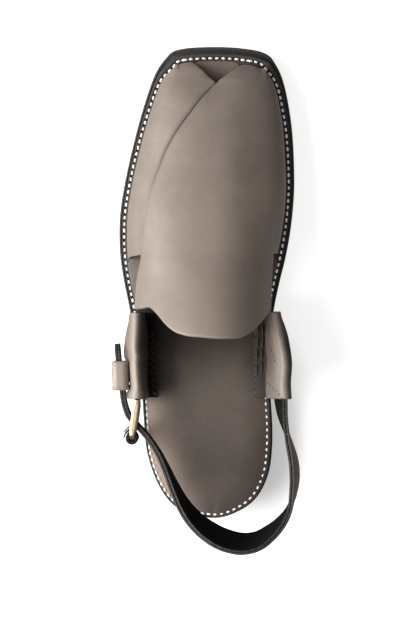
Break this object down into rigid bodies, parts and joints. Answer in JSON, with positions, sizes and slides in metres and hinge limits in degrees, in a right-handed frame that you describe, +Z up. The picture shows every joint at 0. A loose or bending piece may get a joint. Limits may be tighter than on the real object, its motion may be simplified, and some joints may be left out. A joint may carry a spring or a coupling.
{
  "type": "peshawari chappal",
  "caption": "Closed-front leather sandal for the left foot: crossed panels rise into a broad tongue, on a stitched sole with a low heel and a buckled heel strap.",
  "frame": {"origin": "on the ground under the ball of the foot, at the middle of the outsole's flat spot", "axes": "+Z up, +Y toward the toe, +X toward the medial side of the left foot"},
  "size_m": [0.1143, 0.3087, 0.0882],
  "materials": {
    "outsole_rubber": "matt black rubber",
    "midsole_leather": "dark brown edge-dressed leather",
    "footbed_leather": "worn taupe leather",
    "taupe_leather": "smooth taupe leather, satin",
    "strap_leather": "taupe leather with a black lining",
    "brass": "polished",
    "black_roller": "black, satin"
  },
  "bodies": {
    "root": {"outsole": "outsole_rubber", "heel_block": "outsole_rubber", "midsole": "midsole_leather", "insole": "footbed_leather", "upper": "taupe_leather", "strap_ear": "taupe_leather", "buckle_ear": "taupe_leather", "heel_strap": "strap_leather", "keeper": "taupe_leather", "buckle_frame": "brass", "buckle_roller": "black_roller", "buckle_prong": "brass"}
  },
  "joints": []
}
